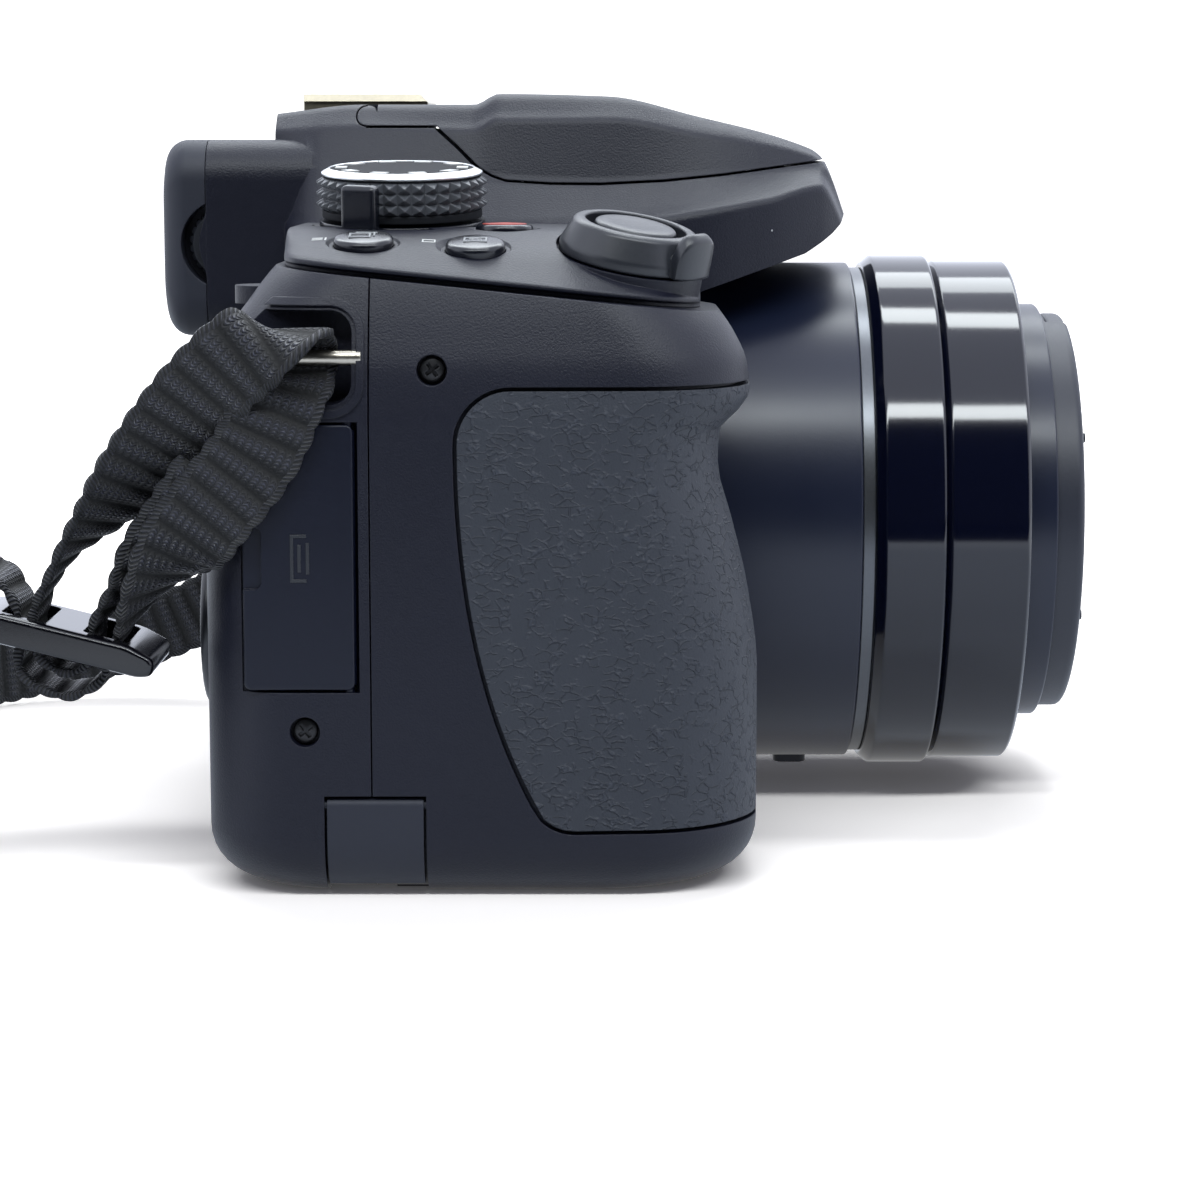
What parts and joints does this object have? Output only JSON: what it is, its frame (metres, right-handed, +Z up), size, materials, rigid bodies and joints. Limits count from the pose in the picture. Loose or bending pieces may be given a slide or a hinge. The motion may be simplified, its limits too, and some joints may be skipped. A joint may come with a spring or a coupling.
{
  "type": "bridge camera",
  "caption": "Bridge camera with a grip, fixed zoom lens under a push-fit cap, pop-up flash over an eye-level finder, swing-out monitor and a webbing neck strap.",
  "frame": {"origin": "middle of the mouth of the tripod socket, on the base plane, under the optical axis", "axes": "+X along the lens, the way it looks; +Y to the camera's left; +Z up"},
  "size_m": [0.2409, 0.1496, 0.088],
  "materials": {
    "body_plastic": "fine matte grain",
    "grip_rubber": "leather-like grain",
    "ring_gloss": "polished black",
    "barrel_satin": "satin black",
    "cap_plastic": "fine matte grain",
    "trim_metal": "satin",
    "bright_steel": "bright",
    "shoe_metal": "pale nickel",
    "dark_plastic": "satin",
    "button_gloss": "polished black",
    "record_red": "red face in a black skirt",
    "lens_glass": "coated",
    "screen_glass": "polished",
    "reflector": "bright",
    "circuit": "green laminate",
    "battery_wrap": "plain",
    "dark_screw": "black oxide",
    "webbing": "woven black nylon",
    "slider_gloss": "polished black"
  },
  "bodies": {
    "body": {"front_shell": "body_plastic", "rear_cover": "body_plastic", "top_plate": "body_plastic", "finder_housing": "body_plastic", "grip_rubber": "grip_rubber", "thumb_pad": "grip_rubber", "case_screws": "dark_screw", "strap_bars": "bright_steel", "tripod_bush": "bright_steel", "shoe_rails": "shoe_metal", "shoe_block": "dark_plastic", "eyecup": "grip_rubber", "eyepiece_glass": "lens_glass", "lens_barrel": "barrel_satin", "trim_ring": "trim_metal", "rear_ring": "ring_gloss", "hood_ring": "ring_gloss", "sensor_unit": "circuit", "rear_glass": "lens_glass", "main_board": "circuit", "battery": "battery_wrap", "port_socket": "bright_steel", "flash_pin": "bright_steel", "strap_right": "webbing", "strap_coil": "webbing", "strap_left": "webbing", "strap_slider": "slider_gloss"},
    "middle_tube": {"middle_tube": "barrel_satin"},
    "lens_cap": {"lens_cap": "cap_plastic"},
    "cap_latch_top": {"cap_latch_top": "cap_plastic"},
    "cap_latch_bottom": {"cap_latch_bottom": "cap_plastic"},
    "mode_dial": {"mode_dial": "dark_plastic"},
    "power_lever": {"power_lever": "dark_plastic"},
    "zoom_lever": {"zoom_lever": "dark_plastic"},
    "shutter_button": {"shutter_button": "dark_plastic"},
    "burst_button": {"burst_button": "button_gloss"},
    "function_button": {"function_button": "button_gloss"},
    "record_button": {"record_button": "record_red"},
    "flash_button": {"flash_button": "dark_plastic"},
    "diopter_wheel": {"diopter_wheel": "dark_plastic"},
    "rear_dial": {"rear_dial": "dark_plastic"},
    "port_door": {"port_door": "body_plastic"},
    "cable_flap": {"cable_flap": "grip_rubber"},
    "jack_door": {"jack_door": "body_plastic"},
    "battery_door": {"battery_door": "body_plastic"},
    "door_latch": {"door_latch": "dark_plastic"},
    "lock_button": {"lock_button": "button_gloss"},
    "play_button": {"play_button": "button_gloss"},
    "menu_button": {"menu_button": "button_gloss"},
    "display_button": {"display_button": "button_gloss"},
    "cursor_pad": {"cursor_pad": "button_gloss"},
    "focus_switch": {"focus_switch": "dark_plastic"},
    "front_tube": {"front_tube": "barrel_satin", "front_glass": "lens_glass", "retaining_ring": "ring_gloss"},
    "flash_lid": {"flash_lid": "body_plastic", "flash_window": "lens_glass", "flash_reflector": "reflector"},
    "monitor": {"monitor": "body_plastic", "monitor_glass": "screen_glass"}
  },
  "joints": [
    {"name": "zoom_middle", "type": "slide", "parent": "body", "child": "middle_tube", "axis": [1, 0, 0], "range_m": [0, 0.028]},
    {"name": "zoom_front", "type": "slide", "parent": "middle_tube", "child": "front_tube", "axis": [1, 0, 0], "range_m": [0, 0.028]},
    {"name": "cap_off", "type": "slide", "parent": "front_tube", "child": "lens_cap", "axis": [1, 0, 0], "range_m": [0, 0.03]},
    {"name": "cap_pinch_top", "type": "slide", "parent": "lens_cap", "child": "cap_latch_top", "axis": [0, 0, -1], "range_m": [0, 0.0015], "stiffness_N_per_m": 500},
    {"name": "cap_pinch_bottom", "type": "slide", "parent": "lens_cap", "child": "cap_latch_bottom", "axis": [0, 0, 1], "range_m": [0, 0.0015], "stiffness_N_per_m": 500},
    {"name": "mode_turn", "type": "hinge", "parent": "body", "child": "mode_dial", "pos_m": [-0.0129, -0.0386, 0.0724], "axis": [0, -0.0872, 0.9962], "continuous": true},
    {"name": "power_turn", "type": "hinge", "parent": "body", "child": "power_lever", "pos_m": [-0.0129, -0.0386, 0.0724], "axis": [0, -0.0872, 0.9962], "range_deg": [0, 28]},
    {"name": "zoom_turn", "type": "hinge", "parent": "body", "child": "zoom_lever", "pos_m": [0.0133, -0.055, 0.0691], "axis": [0.171, -0.1736, 0.9698], "range_deg": [-20, 20], "stiffness_Nm_per_rad": 0.04},
    {"name": "shutter_press", "type": "slide", "parent": "body", "child": "shutter_button", "axis": [-0.171, 0.1736, -0.9698], "range_m": [0, 0.001], "stiffness_N_per_m": 500},
    {"name": "burst_press", "type": "slide", "parent": "body", "child": "burst_button", "axis": [0, 0.225, -0.9744], "range_m": [0, 0.0007], "stiffness_N_per_m": 500},
    {"name": "function_press", "type": "slide", "parent": "body", "child": "function_button", "axis": [0, 0.225, -0.9744], "range_m": [0, 0.0007], "stiffness_N_per_m": 500},
    {"name": "record_press", "type": "slide", "parent": "body", "child": "record_button", "axis": [0, 0, -1], "range_m": [0, 0.0007], "stiffness_N_per_m": 500},
    {"name": "flash_raise", "type": "hinge", "parent": "body", "child": "flash_lid", "pos_m": [-0.0186, 0, 0.0853], "axis": [0, -1, 0], "range_deg": [0, 50]},
    {"name": "flash_press", "type": "slide", "parent": "body", "child": "flash_button", "axis": [0, -1, 0], "range_m": [0, 0.001], "stiffness_N_per_m": 500},
    {"name": "diopter_turn", "type": "hinge", "parent": "body", "child": "diopter_wheel", "pos_m": [-0.0357, -0.018, 0.0698], "axis": [0, -1, 0], "range_deg": [-70, 70]},
    {"name": "rear_dial_turn", "type": "hinge", "parent": "body", "child": "rear_dial", "pos_m": [-0.0266, -0.057, 0.0618], "axis": [0, 0, 1], "continuous": true},
    {"name": "monitor_swing", "type": "hinge", "parent": "body", "child": "monitor", "pos_m": [-0.03475, 0.046, 0.0305], "axis": [0, 0, -1], "range_deg": [0, 180], "deforming": ["strap_left"]},
    {"name": "port_open", "type": "hinge", "parent": "body", "child": "port_door", "pos_m": [-0.0171, -0.0702, 0.0378], "axis": [0, 0, 1], "range_deg": [0, 95], "deforming": ["strap_right"]},
    {"name": "cable_open", "type": "hinge", "parent": "body", "child": "cable_flap", "pos_m": [-0.01445, -0.0702, 0.0106], "axis": [-1, 0, 0], "range_deg": [0, 80]},
    {"name": "jack_open", "type": "hinge", "parent": "body", "child": "jack_door", "pos_m": [0.0032, 0.0522, 0.034], "axis": [0, 0, -1], "range_deg": [0, 95]},
    {"name": "battery_open", "type": "hinge", "parent": "body", "child": "battery_door", "pos_m": [0.0004, -0.048, 0.0008], "axis": [1, 0, 0], "range_deg": [0, 95]},
    {"name": "latch_slide", "type": "slide", "parent": "battery_door", "child": "door_latch", "axis": [0, 1, 0], "range_m": [0, 0.0025]},
    {"name": "lock_press", "type": "slide", "parent": "body", "child": "lock_button", "axis": [1, 0, 0], "range_m": [0, 0.0005], "stiffness_N_per_m": 500},
    {"name": "play_press", "type": "slide", "parent": "body", "child": "play_button", "axis": [1, 0, 0], "range_m": [0, 0.0005], "stiffness_N_per_m": 500},
    {"name": "menu_press", "type": "slide", "parent": "body", "child": "menu_button", "axis": [1, 0, 0], "range_m": [0, 0.0005], "stiffness_N_per_m": 500},
    {"name": "display_press", "type": "slide", "parent": "body", "child": "display_button", "axis": [1, 0, 0], "range_m": [0, 0.0005], "stiffness_N_per_m": 500},
    {"name": "cursor_press", "type": "slide", "parent": "body", "child": "cursor_pad", "axis": [1, 0, 0], "range_m": [0, 0.0006], "stiffness_N_per_m": 500},
    {"name": "focus_slide", "type": "slide", "parent": "body", "child": "focus_switch", "axis": [1, 0, 0], "range_m": [-0.0025, 0.0025]}
  ],
  "couplings": [
    {"joint": "zoom_front", "follows": "zoom_middle", "ratio": 1}
  ]
}
